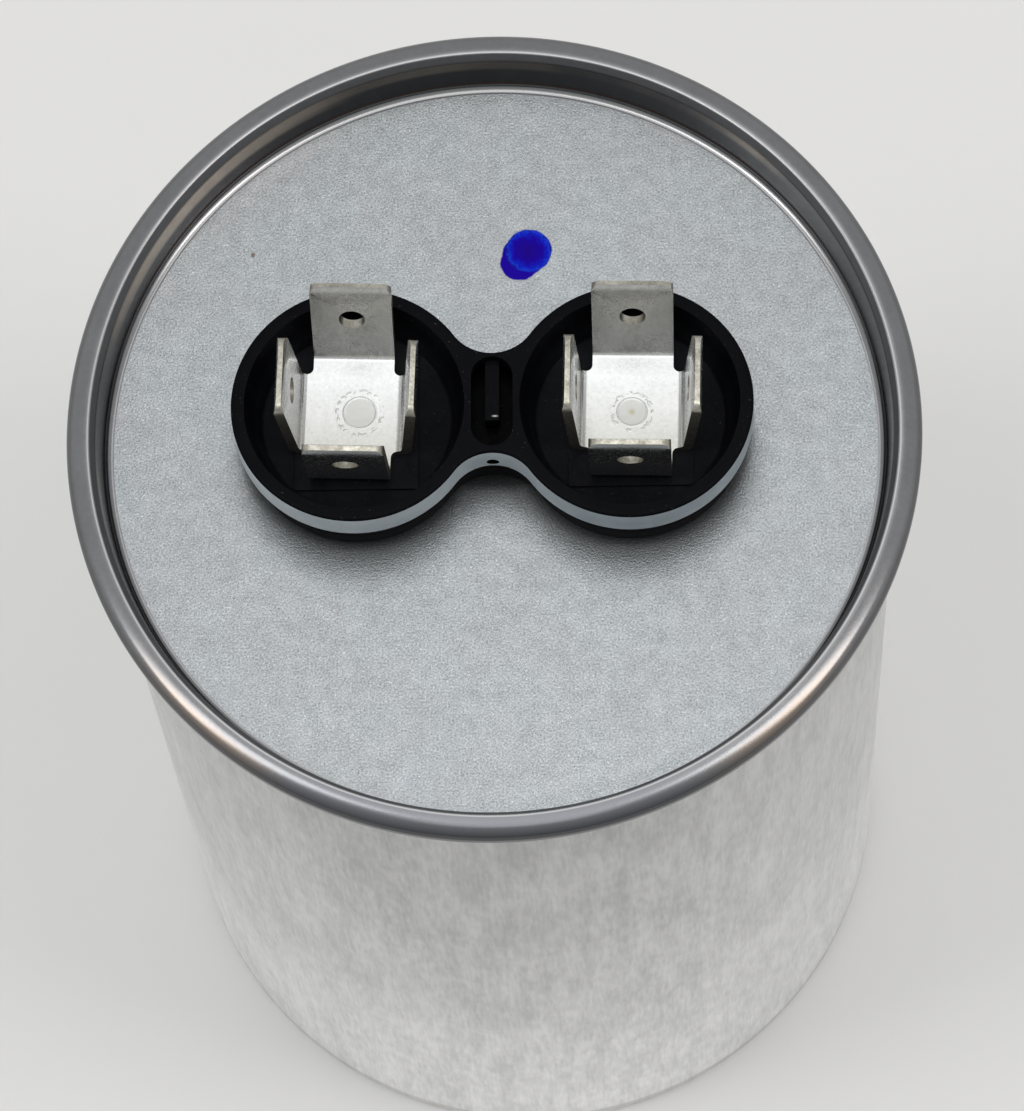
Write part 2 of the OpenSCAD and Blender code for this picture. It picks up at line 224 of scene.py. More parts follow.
def roundPath(corners, steps=8):
    # corners: (a, b, radius). Each corner is cut by the circle of that radius that touches both of its legs
    path = []
    for i, (a, b, r) in enumerate(corners):
        p = np.array([a, b], float)
        if r <= 0 or i in (0, len(corners) - 1):
            path.append(p[None])
            continue
        before = np.array(corners[i - 1][:2], float) - p
        after = np.array(corners[i + 1][:2], float) - p
        before /= np.linalg.norm(before)
        after /= np.linalg.norm(after)
        half = math.acos(float(np.clip(before @ after, -1, 1))) / 2
        middle = (before + after) / np.linalg.norm(before + after)
        centre = p + middle * r / math.sin(half)
        start = p + before * r / math.tan(half) - centre
        end = p + after * r / math.tan(half) - centre
        a0, a1 = math.atan2(start[1], start[0]), math.atan2(end[1], end[0])
        sweep = (a1 - a0 + math.pi) % (2 * math.pi) - math.pi
        angles = a0 + sweep * np.linspace(0, 1, steps + 1)
        path.append(centre + circlePoints(r, r, angles))
    return np.concatenate(path)


def turned(name, profile, around=256, smooth=50):
    # point(u, v) = (r(v) cos u, r(v) sin u, z(v)): a profile in (r, z) carried round the Z axis,
    # closed at both ends, where r = 0, by a fan of triangles
    r, z = profile[1:-1, 0], profile[1:-1, 1]
    u = fullTurn(around)
    ring = np.stack([np.outer(np.cos(u), r), np.outer(np.sin(u), r), np.tile(z, (around, 1))], -1).reshape(-1, 3)
    n = len(r)
    first, last = len(ring), len(ring) + 1
    here = np.arange(around) * n
    after = np.roll(here, -1)
    caps = [np.stack([np.full(around, first), after, here], 1),
            np.stack([np.full(around, last), here + n - 1, after + n - 1], 1)]
    points = np.vstack([ring, [0, 0, profile[0, 1]], [0, 0, profile[-1, 1]]])
    faces = gridFaces(around, n, True, False).tolist() + caps[0].tolist() + caps[1].tolist()
    return putMesh(name, points, faces, smooth)


def lofted(name, rows):
    # point(u, v) = rows[v][u]: closed outlines of equal length, one above the other, with two flat caps
    n, m = len(rows), len(rows[0])
    sides = gridFaces(n, m, False, True)[:, ::-1]
    piece = putMesh(name, np.vstack(rows), sides.tolist() + [list(range(m))[::-1], [(n - 1) * m + k for k in range(m)]])
    return outwardOf(piece)


def prism(name, outline, z0, z1):
    # outline in (x, y), carried straight up from z0 to z1
    return lofted(name, [np.hstack([outline, np.full((len(outline), 1), z)]) for z in (z0, z1)])


def box(x0, x1, y0, y1):
    return np.array([(x0, y0), (x1, y0), (x1, y1), (x0, y1)], float)


def obround(w, y0, y1, n=24):
    # two half circles of diameter w, the highest at y1 and the lowest at y0
    half = circlePoints(w / 2, w / 2, np.linspace(0, np.pi, n))
    return np.vstack([half + [0, y1 - w / 2], -half + [0, y0 + w / 2]])


def moved(piece, offset):
    piece.data.transform(Matrix.Translation(Vector(offset) * mm))
    return piece


def applied(piece):
    # the piece's modifiers made part of its mesh
    depsgraph = bpy.context.evaluated_depsgraph_get()
    mesh = bpy.data.meshes.new_from_object(piece.evaluated_get(depsgraph))
    piece.modifiers.clear()
    old, piece.data = piece.data, mesh
    bpy.data.meshes.remove(old)
    return piece


def cutFrom(piece, other):
    # the piece without the space that other fills; other is used up
    step = piece.modifiers.new("cut", "BOOLEAN")
    step.object = other
    step.operation = "DIFFERENCE"
    step.solver = "EXACT"
    bpy.context.view_layer.update()
    applied(piece)
    bpy.data.objects.remove(other, do_unlink=True)
    return piece


def outwardOf(piece):
    # points that lie on each other become one, and every face looks outward
    mesh = bmesh.new()
    mesh.from_mesh(piece.data)
    bmesh.ops.remove_doubles(mesh, verts=mesh.verts, dist=1e-7)
    bmesh.ops.recalc_face_normals(mesh, faces=mesh.faces)
    mesh.to_mesh(piece.data)
    mesh.free()
    return piece


def softEdges(piece, width, limit):
    # width in mm, on edges sharper than limit degrees
    bevel = piece.modifiers.new("softEdges", "BEVEL")
    bevel.width = width * mm
    bevel.segments = 3
    bevel.limit_method = "ANGLE"
    bevel.angle_limit = math.radians(limit)
    bevel.harden_normals = True
    bevel.miter_outer = "MITER_ARC"
    return piece


# in the dictionaries of the pieces, lengths, radii and heights are in mm and angles in degrees

can = {"radius": 31.75, "wall": 0.5, "floor": 0.8, "footRound": 1.2, "floorRound": 0.7,
       "flareFrom": 96.45, "flareRound": 3, "neck": 98.45, "neckRadius": 32.2, "neckRound": 2,
       "curlAt": (32.6, 99.85), "curl": 0.45, "curlEnd": 99.45, "curlRound": 0.43, "curlInside": 0.1,
       "lipRound": 0.35,
       "rows": (2.5, 95.5, 30)}                # points up the wall, so that its shading stays even


def makeCan(s):
    # half section in (r, z): up the outside, over the curl and down the inside
    r, w = s["radius"], s["wall"]
    curlR, curlZ = (middle + s["curl"] for middle in s["curlAt"])
    neck, inside = s["neckRadius"], s["curlInside"]
    outer = roundPath([
        (0, 0, 0), (r, 0, s["footRound"]), (r, s["flareFrom"], s["flareRound"]), (neck, s["neck"], s["neckRound"]),
        (neck, curlZ - w, inside), (curlR - w, curlZ - w, inside), (curlR - w, s["curlEnd"], 0),
        (curlR, s["curlEnd"], 0), (curlR, curlZ, s["curlRound"]), (neck - w, curlZ, s["lipRound"]),
        (neck - w, s["neck"], s["neckRound"]), (r - w, s["flareFrom"], s["flareRound"]),
        (r - w, s["floor"], s["floorRound"]), (0, s["floor"], 0)])
    tall = np.linspace(*s["rows"])[:, None]
    cut = int(np.argmax(outer[:, 1] > s["rows"][0]))
    outer = np.vstack([outer[:cut], np.hstack([np.full_like(tall, r), tall]), outer[cut:]])
    return turned("canShell", outer)


canShell = makeCan(can)
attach(canShell, "root")
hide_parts("can")
print("can made")


lid = {"panel": 96.3, "sheet": 0.35, "foot": 30.85, "footRound": (0.6, 0.5),
       "wallTop": (31.34, 100.3), "wallRound": 0.5, "crest": (31.72, 101.0), "crestRound": 0.2,
       "oval": (31.86, 99.97), "ovalSize": (1.70, 1.02),
       "outerArc": (84, 0, 22), "innerArc": (0, 88, 12), "under": 98.7, "underRound": (0.9, 0.6),
       "hook": (32.25, 99.75), "hookRound": 0.3, "innerTop": (-0.03, -0.2, 0.15),
       "rings": (2, 29, 20),                   # points across the panel, so that its shading stays even
       "steps": 10, "around": 320}             # points in a rounded corner, and round the axis


def makeLid(s):
    # half section in (r, z): panel, wall, seam and hook above and outside, then the same a sheet lower and further in.
    # The seam's top is a quarter of an ellipse from its crest down to its upright side:
    # point(a) = (r + wide cos a, z + high sin a), and the same with both axes a sheet shorter for its inner face
    t, under = s["sheet"], s["under"]
    middle, (wide, high) = np.array(s["oval"]), s["ovalSize"]
    wallR, wallZ = s["wallTop"]
    hookR, hookZ = s["hook"]
    outer = middle[0] + wide
    aside, lower, innerRound = s["innerTop"]

    def oval(less, arc):
        points = middle + circlePoints(wide - less, high - less, np.radians(np.linspace(*arc)))
        return [(a, b, 0) for a, b in points]

    profile = roundPath([
        (0, s["panel"], 0), (s["foot"], s["panel"], s["footRound"][0]), (wallR, wallZ, s["wallRound"]),
        (*s["crest"], s["crestRound"]), *oval(0, s["outerArc"]), (outer, under, s["underRound"][0]),
        (hookR, under, s["hookRound"]), (hookR, hookZ, 0), (hookR + t, hookZ, 0),
        (hookR + t, under + t, s["hookRound"]), (outer - t, under + t, s["underRound"][1]), *oval(t, s["innerArc"]),
        (wallR + t + aside, wallZ + lower, innerRound), (s["foot"] + t, s["panel"] - t, s["footRound"][1]),
        (0, s["panel"] - t, 0)], s["steps"])
    rings = np.linspace(*s["rings"])[:, None]
    above, below = (np.hstack([rings, np.full_like(rings, z)]) for z in (s["panel"], s["panel"] - t))
    profile = np.vstack([profile[:1], above, profile[1:-1], below[::-1], profile[-1:]])
    return turned("lidSheet", profile[::-1], s["around"])


lidSheet = makeLid(lid)
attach(lidSheet, "root")
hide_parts("lid")
print("lid made")


block = {"pitch": 21.5, "y": 1.0, "cup": 9.65, "ring": 1.05, "floor": 7.5, "deep": 4.1, "waist": 8.36,
         "base": 98.0, "top": 103.5, "flange": 3.05, "neckInset": 0.8, "capInset": 0.6, "underRounds": (0.15, 0.12),
         "topRound": 0.28, "floorRound": 0.25, "steps": 5, "cupSteps": 4, "cupAround": 144,
         "pad": (9.7, 11.4, 0.25),             # width, length, height
         "slot": (3.25, -3.6, 3.8, 2.6),       # width, front end, rear end, depth
         "rib": (1.1, -1.2, 0.9),              # width, front end, top below the block's top
         "vent": (1.0, 2.15, 3, 32),           # diameter, depth of its middle below the top, length, points round it
         "sharp": 32, "soft": 0.13}


def dumbbell(inset, s=block, fine=48):
    # outline: two circles of radius cup - inset, joined by two hollow arcs of radius hollow + inset
    # that touch both circles
    half, cup, w = s["pitch"] / 2, s["cup"], s["waist"] / 2
    hollow = (half ** 2 + w ** 2 - cup ** 2) / (2 * (cup - w))
    y = w + hollow
    a = math.atan2(y, half)

    def arc(cx, cy, r, a0, a1, n):
        return circlePoints(r, r, np.linspace(a0, a1, n, endpoint=False)) + [cx, cy]

    return np.vstack([
        arc(half, 0, cup - inset, a - math.pi, math.pi - a, 3 * fine),
        arc(0, y, hollow + inset, -a, a - math.pi, fine),
        arc(-half, 0, cup - inset, a, 2 * math.pi - a, 3 * fine),
        arc(0, -y, hollow + inset, math.pi - a, a, fine)])


def dumbbellSolid(name, profile, y):
    # point(u, v) = outline(u) moved in by inset(v), at height z(v)
    rows = [np.hstack([dumbbell(inset) + [0, y], np.full((len(dumbbell(0)), 1), z)]) for inset, z in profile]
    return lofted(name, rows)


def makeBlock(s):
    # the wide part on its neck, less two cups with a raised pad each, a slot with a rib in it, and a vent
    inset, top, low = s["neckInset"], s["top"], s["top"] - s["flange"]
    beyond = 1                                 # what cuts runs out this far past what it cuts
    inner, outer = s["underRounds"]
    profile = roundPath([(inset, s["base"], 0), (inset, low, inner), (0, low, outer), (0, top, s["topRound"]),
                         (s["capInset"], top, 0)], s["steps"])
    piece = dumbbellSolid("blockBody", profile, s["y"])
    slope = (s["cup"] - s["ring"] - s["floor"]) / s["deep"]
    padX, padY, padH = s["pad"]
    floor = top - s["deep"]
    for side in (-1, 1):
        cup = roundPath([(0, floor, 0), (s["floor"], floor, s["floorRound"]),
                         (s["cup"] - s["ring"] + slope, top + beyond, 0), (0, top + beyond, 0)], s["cupSteps"])
        cut = turned("cut", cup, s["cupAround"])
        cutFrom(cut, prism("pad", box(-padX / 2, padX / 2, -padY / 2, padY / 2), floor - beyond, floor + padH))
        cutFrom(piece, moved(cut, (side * s["pitch"] / 2, s["y"], 0)))
    width, front, rear, deep = s["slot"]
    ribW, ribFront, ribDrop = s["rib"]
    cut = prism("slot", obround(width, front, rear), top - deep, top + beyond)
    rib = box(-ribW / 2, ribW / 2, ribFront, rear + beyond)
    cutFrom(cut, prism("rib", rib, top - deep - beyond, top - ribDrop))
    cutFrom(piece, moved(cut, (0, s["y"], 0)))
    hole, drop, length, around = s["vent"]
    cut = prism("vent", circlePoints(hole / 2, hole / 2, fullTurn(around)), 0, length)
    cut.data.transform(Matrix.Rotation(math.radians(90), 4, "X"))
    cutFrom(piece, moved(cut, (0, s["y"] + front + beyond, top - drop)))
    outwardOf(piece)
    shadeSmooth(piece.data, s["sharp"])
    markOuterWall(piece, s, wallMark)
    return softEdges(piece, s["soft"], s["sharp"])


# how near the waist and the walls a face has to be, and how far from level it has to look
wallMark = {"waist": 0.8, "cupSlack": 0.3, "waistSlack": 0.4, "upright": 0.35}


def markOuterWall(piece, s, m):
    # attribute outerWall: 1 on upright faces that look away from the middle of their own cup, or of the slot
    mesh = piece.data
    n = len(mesh.polygons)
    centre, normal = np.empty(n * 3), np.empty(n * 3)
    mesh.polygons.foreach_get("center", centre)
    mesh.polygons.foreach_get("normal", normal)
    centre, normal = centre.reshape(-1, 3) / mm - [0, s["y"], 0], normal.reshape(-1, 3)
    half = s["pitch"] / 2
    atWaist = np.abs(centre[:, 0]) < half - s["cup"] * m["waist"]
    away = centre - np.stack([np.sign(centre[:, 0]) * half, np.zeros(n), np.zeros(n)], 1)
    outside = s["cup"] - s["neckInset"] - m["cupSlack"]
    cupWall = ((away * normal).sum(1) > 0) & (np.hypot(away[:, 0], away[:, 1]) > outside)
    waistWall = (np.abs(centre[:, 1]) > s["waist"] / 2 - m["waistSlack"]) & (centre[:, 1] * normal[:, 1] > 0)
    upright = np.abs(normal[:, 2]) < m["upright"]
    wall = upright & np.where(atWaist, waistWall, cupWall)
    mark = mesh.attributes.new("outerWall", "FLOAT", "FACE")
    mark.data.foreach_set("value", wall.astype(np.float32))


blockBody = makeBlock(block)
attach(blockBody, "root")
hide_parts("terminal_block")


gasket = {"inset": 0.7, "capInset": 1.7, "z": (96.3, 98.0), "round": 0.3, "steps": 5}


def makeGasket(s):
    (low, high), edge, cap = s["z"], s["inset"], s["capInset"]
    profile = [(cap, low, 0), (edge, low, s["round"]), (edge, high, s["round"]), (cap, high, 0)]
    return dumbbellSolid("gasketPad", roundPath(profile, s["steps"]), block["y"])


gasketPad = makeGasket(gasket)
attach(gasketPad, "root")
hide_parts("block_gasket")
print("block and gasket made")


terminal = {"sheet": 0.8, "blade": 6.35, "straight": 8.1, "bend": 0.5, "x": 8.1, "y": 9.6, "z": 99.65,
            "tip": 0.8, "notch": 0.5, "hole": 2.06, "holeFromTip": 3.75,
            "tipSheet": 0.5, "coin": 0.55,     # the tip's share of the sheet's thickness, and the length that thins
            "cornerPoints": 7, "holePoints": 40, "bendRows": 9, "smooth": 30, "soft": 0.1, "sharp": 50,
            "slack": 0.01, "merge": 1e-5,      # how much a width test forgives, and how near two points are one
            # how each stands in its cup: its turn, its shift from the cup's centre, the lean of each blade
            "Left": {"side": -1, "turn": -2.0, "shift": (-0.33, 0.4), "leans": (5.0, 17.5, 4.5, 6.0)},
            "Right": {"side": 1, "turn": -1.4, "shift": (0.15, 0.35), "leans": (5.0, 16.5, 3.0, 4.5)}}
arms = [(1, 0), (0, 1), (-1, 0), (0, -1)]      # +X, rear, -X, front


def flatCross(s, lengths):
    # flat pattern of the stamping: a cross with rounded tips, rounded inner corners and one hole in each arm
    w, r, n = s["blade"] / 2, s["tip"], s["notch"]
    t = np.linspace(0, np.pi / 2, s["cornerPoints"])
    hole = circlePoints(s["hole"] / 2, s["hole"] / 2, fullTurn(s["holePoints"]))
    outline, holes = [], []
    for (c, q), l in zip(arms, lengths):
        turn = np.array([[c, q], [-q, c]])
        arm = np.vstack([
            np.stack([l - r + r * np.sin(t), -w + r - r * np.cos(t)], 1),
            np.stack([l - r + r * np.cos(t), w - r + r * np.sin(t)], 1),
            np.stack([w + n - n * np.sin(t), w + n - n * np.cos(t)], 1)])
        outline.append(arm @ turn)
        holes.append((hole + [l - s["holeFromTip"], 0]) @ turn)
    return np.vstack(outline), holes


def bent(points, s, starts, bends):
    # arm by arm: a distance d beyond the bend's start runs round the bend's middle line first,
    # then straight on at the lean
    out = np.hstack([points, np.zeros((len(points), 1))])
    r = s["bend"] + s["sheet"] / 2
    for (c, q), start, full in zip(arms, starts, bends):
        along, across = points @ np.array([c, q]), points @ np.array([-q, c])
        far = along - start
        use = (far > 0) & (np.abs(across) < s["blade"] / 2 + s["slack"])
        angle = np.clip(far / r, 0, full)
        rest = np.maximum(far - full * r, 0)
        reach = start + r * np.sin(angle) + rest * math.cos(full)
        rise = r * (1 - np.cos(angle)) + rest * math.sin(full)
        place = np.stack([reach * c - across * q, reach * q + across * c, rise], 1)
        out[use] = place[use]
    return out


def makeTerminal(name, s):
    # the flat cross with rows where it bends or thins, bent up, turned into its cup and given its sheet's thickness
    own = s[name]
    r = s["bend"] + s["sheet"] / 2
    starts = [half - s["bend"] for half in (s["x"] / 2, s["y"] / 2, s["x"] / 2, s["y"] / 2)]
    bends = [math.radians(90 - lean) for lean in own["leans"]]
    lengths = [start + bend * r + s["straight"] for start, bend in zip(starts, bends)]
    outline, holes = flatCross(s, lengths)
    mesh = bmesh.new()
    for loop in [outline] + holes:
        corners = [mesh.verts.new((x, y, 0)) for x, y in loop]
        for a, b in zip(corners, corners[1:] + corners[:1]):
            mesh.edges.new((a, b))
    bmesh.ops.triangle_fill(mesh, use_beauty=True, use_dissolve=False, edges=mesh.edges[:])
    for (c, q), start, bend, length in zip(arms, starts, bends, lengths):
        rows = [start + step for step in np.linspace(0, bend * r, s["bendRows"])]
        for d in rows + [length - s["coin"]]:
            bmesh.ops.bisect_plane(mesh, geom=mesh.verts[:] + mesh.edges[:] + mesh.faces[:], dist=s["merge"],
                                   plane_co=(d * c, d * q, 0), plane_no=(c, q, 0))
    mesh.verts.index_update()
    flat = np.array([v.co[:2] for v in mesh.verts])
    faces = [[v.index for v in f.verts] for f in mesh.faces]
    mesh.free()
    place = bent(flat, s, starts, bends) + [0, 0, s["z"] + s["sheet"] / 2]
    turn = math.radians(own["turn"])
    spin = np.array([[math.cos(turn), -math.sin(turn)], [math.sin(turn), math.cos(turn)]])
    place[:, :2] = place[:, :2] @ spin.T + own["shift"] + [own["side"] * block["pitch"] / 2, block["y"]]
    piece = putMesh("terminal" + name, place, faces, s["smooth"])
    toTip = np.min([length - flat @ np.array(arm) for arm, length in zip(arms, lengths)], 0)
    thinTips(piece, s, toTip)
    return softEdges(piece, s["soft"], s["sharp"])


def thinTips(piece, s, toTip):
    # the sheet's share of its full thickness at each point: weight(d) = tipSheet + (1 - tipSheet) d / coin, at most 1
    weight = np.clip(s["tipSheet"] + (1 - s["tipSheet"]) * toTip / s["coin"], 0, 1).round(3)
    group = piece.vertex_groups.new(name="sheet")
    for value in np.unique(weight):
        group.add(np.flatnonzero(weight == value).tolist(), float(value), "REPLACE")
    thick = piece.modifiers.new("sheet", "SOLIDIFY")
    thick.thickness = s["sheet"] * mm
    thick.offset = 0
    thick.vertex_group = "sheet"
    thick.use_even_offset = True
    thick.material_offset_rim = 1              # the sheared rim takes the piece's second material


terminals = {name: makeTerminal(name, terminal) for name in ("Left", "Right")}
for name, piece in terminals.items():
    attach(piece, "root")
    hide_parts("terminal_" + name.lower())
print("terminals made")


def newMaterial(name):
    material = bpy.data.materials.new(name)
    material.use_nodes = True
    tree = material.node_tree
    return material, tree, tree.nodes["Principled BSDF"]


def dress(piece, *materials):
    piece.data.materials.clear()
    for material in materials:
        piece.data.materials.append(material)


def stretched(tree, scale):
    # the part's own coordinates, times scale
    mapping = node(tree, "Mapping", Scale=scale)
    fill(tree, mapping.inputs["Vector"], node(tree, "TexCoord").outputs["Object"])
    return mapping.outputs[0]


def noise(tree, scale, detail=1.0, stretch=(1, 1, 1)):
    made = node(tree, "TexNoise", Scale=scale, Detail=detail)
    fill(tree, made.inputs["Vector"], stretched(tree, stretch))
    return made.outputs[0]


def groupOf(name, inputs, outputs):
    # inputs: name and plain value; a vector input has no plain value
    group = bpy.data.node_groups.new(name, "ShaderNodeTree")
    for label, value in inputs.items():
        kind = "NodeSocketVector" if value is None else "NodeSocketFloat"
        socket = group.interface.new_socket(name=label, in_out="INPUT", socket_type=kind)
        if value is not None:
            socket.default_value = value
    for label in outputs:
        group.interface.new_socket(name=label, in_out="OUTPUT", socket_type="NodeSocketFloat")
    return group, group.nodes.new("NodeGroupInput").outputs, group.nodes.new("NodeGroupOutput").inputs


# detail of the grain's two noises; scale and detail of what makes a spot ragged; depth in mm of a full bump
fields = {"fineDetail": 3.0, "coarseDetail": 2.0, "ragged": (1100.0, 2.0), "bumpDepth": 0.1}


def makeGrain(s):
    # grain: noise at a fine and a coarse scale, mixed to one value about 0.5
    group, given, out = groupOf("grainField", {"Vector": None, "Fine": 3000.0, "Coarse": 300.0, "Mix": 0.5}, ["Value"])
    mix = node(group, "Mix", data_type="FLOAT")
    fill(group, mix.inputs[0], given["Mix"])
    for size, detail, socket in (("Fine", "fineDetail", mix.inputs[2]), ("Coarse", "coarseDetail", mix.inputs[3])):
        field = node(group, "TexNoise", Detail=s[detail])
        fill(group, field.inputs["Vector"], given["Vector"])
        fill(group, field.inputs["Scale"], given[size])
        fill(group, socket, field.outputs[0])
    fill(group, out["Value"], mix.outputs[0])
    return group


def makeBand():
    # band: 1 where Value lies between Low and High, falling smoothly to 0 over Soft on either side
    group, given, out = groupOf("bandMask", {"Value": 0.0, "Low": 0.0, "High": 1.0, "Soft": 0.1}, ["Mask"])
    steps = []
    for edge in ("Low", "High"):
        step = node(group, "MapRange", interpolation_type="SMOOTHSTEP")
        fill(group, step.inputs["Value"], given["Value"])
        fill(group, step.inputs["From Min"], calc(group, "SUBTRACT", given[edge], given["Soft"]))
        fill(group, step.inputs["From Max"], calc(group, "ADD", given[edge], given["Soft"]))
        steps.append(step.outputs[0])
    fill(group, out["Mask"], calc(group, "MULTIPLY", steps[0], calc(group, "SUBTRACT", 1.0, steps[1])))
    return group


def makePlace():
    # place: the point of the part that is shaded, in mm, its distance from the can's axis and from the plane X = 0
    group, _, out = groupOf("partPlace", {}, ["X", "Y", "Z", "Radius", "Aside"])
    split = node(group, "SeparateXYZ")
    fill(group, split.inputs[0], stretched(group, (1 / mm, 1 / mm, 1 / mm)))
    for k in ("X", "Y", "Z"):
        fill(group, out[k], split.outputs[k])
    square = [calc(group, "MULTIPLY", split.outputs[k], split.outputs[k]) for k in ("X", "Y")]
    fill(group, out["Radius"], calc(group, "SQRT", calc(group, "ADD", *square)))
    fill(group, out["Aside"], calc(group, "ABSOLUTE", split.outputs["X"]))
    return group


def makeSpot(s):
    # spot: distance from (X, Y) to (CentreX, CentreY) over Size, the outline made ragged by Ragged;
    # Reach is 1 on the outline
    group, given, out = groupOf("spotField", {"X": 0.0, "Y": 0.0, "CentreX": 0.0, "CentreY": 0.0, "Size": 1.0,
                                              "Ragged": 0.1}, ["Reach"])
    across = [calc(group, "SUBTRACT", given[k], given["Centre" + k]) for k in ("X", "Y")]
    square = [calc(group, "MULTIPLY", d, d) for d in across]
    reach = calc(group, "DIVIDE", calc(group, "SQRT", calc(group, "ADD", *square)), given["Size"])
    rough = noise(group, *s["ragged"])
    shake = calc(group, "MULTIPLY", calc(group, "SUBTRACT", rough, 0.5), given["Ragged"])
    fill(group, out["Reach"], calc(group, "ADD", reach, shake))
    return group


effects = {"grain": makeGrain(fields), "band": makeBand(), "place": makePlace(), "spot": makeSpot(fields)}


def useGroup(tree, effect, **values):
    made = node(tree, "Group", node_tree=effects[effect])
    for key, value in values.items():
        fill(tree, made.inputs[key], value)
    return made.outputs


def grain(tree, fine, coarse, mix, stretch=(1, 1, 1)):
    return useGroup(tree, "grain", Vector=stretched(tree, stretch), Fine=fine, Coarse=coarse, Mix=mix)[0]


def band(tree, value, low, high, soft):
    return useGroup(tree, "band", Value=value, Low=low, High=high, Soft=soft)[0]


def spot(tree, place, centre, size, ragged):
    # with size 1 the reach is the distance in mm
    return useGroup(tree, "spot", X=place["X"], Y=place["Y"], CentreX=centre[0], CentreY=centre[1],
                    Size=size, Ragged=ragged)[0]


def within(tree, place, bands):
    # 1 where every one of the bands is met
    masks = [band(tree, place[key], *limits) for key, limits in bands.items()]
    return masks[0] if len(masks) == 1 else calc(tree, "MULTIPLY", *masks)


def laid(tree, place, base, coat):
    # the coat's colour over base, in the coat's share, within the coat's bands
    return blend(tree, calc(tree, "MULTIPLY", within(tree, place, coat["in"]), coat["share"]), base, coat["colour"])


def feed(tree, shader, base, rough, metal=0.0, gleam=0.5):
    # gleam: the mirror light of what isn't metal, 0.5 at its usual level
    sockets = {"Base Color": base, "Roughness": rough, "Metallic": metal, "Specular IOR Level": gleam}
    for name, value in sockets.items():
        fill(tree, shader.inputs[name], value)


def bump(tree, shader, height, strength):
    made = node(tree, "Bump", Strength=strength, Distance=fields["bumpDepth"] * mm)
    fill(tree, made.inputs["Height"], height)
    fill(tree, shader.inputs["Normal"], made.outputs[0])


# In the dictionaries of the finishes a band is (low, high, soft edge) of a length in mm, and a spread is
# (from, to, what it gives there, what it gives here). grain is (fine scale, coarse scale, share of the coarse one).
# A coat is a colour laid over the rest in its share, in the place that its bands name.

canFinish = {
    "streak": (3200.0, 700.0, 0.5), "streakStretch": (1, 1, 0.12),
    "cloud": (900.0, 150.0, 0.5), "cloudStretch": (1, 1, 0.5), "cloudShare": 0.38,
    "drawn": [(0.40, (0.74, 0.743, 0.735)), (0.60, (1.0, 1.0, 1.0))],
    # painted shade: the can's colour darkens from the foot up to about half at the seam
    "upward": (0.0, 96.0, 0.0, 1.0),
    "shadeTowardTop": [(0.05, (1.0, 1.0, 1.0)), (0.20, (0.93, 0.93, 0.93)), (0.45, (0.72, 0.72, 0.715)),
             (1.0, (0.505, 0.505, 0.50))],
    # painted light: the can's colour paler towards its left and right sides
    "sides": (12.0, 30.0, 0.0, 0.30), "sideLightColour": (0.86, 0.86, 0.85),
    # painted shade: a darker band on the wall just above the foot, where the can meets the floor
    "foot": {"in": {"Z": (1.0, 2.3, 0.35)}, "share": 0.5, "colour": (0.48, 0.48, 0.45)},
    "rough": (0.35, 0.65, 0.42, 0.30), "bump": 0.12,
}


def makeCanMetal(s):
    material, tree, shader = newMaterial("drawnAluminium")
    place = useGroup(tree, "place")
    streak = calc(tree, "MULTIPLY", grain(tree, *s["streak"], s["streakStretch"]), 1 - s["cloudShare"])
    cloud = calc(tree, "MULTIPLY", grain(tree, *s["cloud"], s["cloudStretch"]), s["cloudShare"])
    tone = calc(tree, "ADD", streak, cloud)
    # painted shade, darker towards the top
    shadeTowardTop = ramp(tree, spread(tree, place["Z"], *s["upward"]), s["shadeTowardTop"])
    base = blend(tree, 1.0, ramp(tree, tone, s["drawn"]), shadeTowardTop, "MULTIPLY")
    # painted light, paler towards the sides
    base = blend(tree, spread(tree, place["Aside"], *s["sides"]), base, s["sideLightColour"])
    # painted shade at the foot
    base = laid(tree, place, base, s["foot"])
    feed(tree, shader, base, spread(tree, tone, *s["rough"]), metal=1.0)
    bump(tree, shader, tone, s["bump"])
    return material


# a blot of blue marker: one round drop with a paler rim over a second, darker one, run together between them;
# a drop is its centre, its radius and how ragged its outline is
inkFinish = {
    "first": ((2.71, 16.53), 1.84, 0.14), "second": ((1.96, 15.52), 1.52, 0.16), "between": ((2.28, 16.06), 1.74, 0.14),
    "edge": (-1.0, 1.0, 0.04), "patches": (5000.0, 1500.0, 0.5), "patchy": (0.35, 0.65, -0.14, 0.14),
    "outward": [(0.0, (0.012, 0.003, 0.17)), (0.60, (0.010, 0.003, 0.25)), (0.82, (0.006, 0.012, 0.38)),
                (0.92, (0.010, 0.035, 0.46)), (1.0, (0.006, 0.012, 0.26))],
    "under": (0.012, 0.003, 0.24),
}


def withInk(tree, place, base, s):
    first, second, between = (spot(tree, place, *s[k]) for k in ("first", "second", "between"))
    inFirst, inSecond, inBetween = (band(tree, reach, *s["edge"]) for reach in (first, second, between))
    patches = spread(tree, grain(tree, *s["patches"]), *s["patchy"])
    colour = ramp(tree, calc(tree, "ADD", first, patches), s["outward"])
    colour = blend(tree, inFirst, s["under"], colour)
    return blend(tree, calc(tree, "MAXIMUM", inFirst, inSecond, inBetween), base, colour)
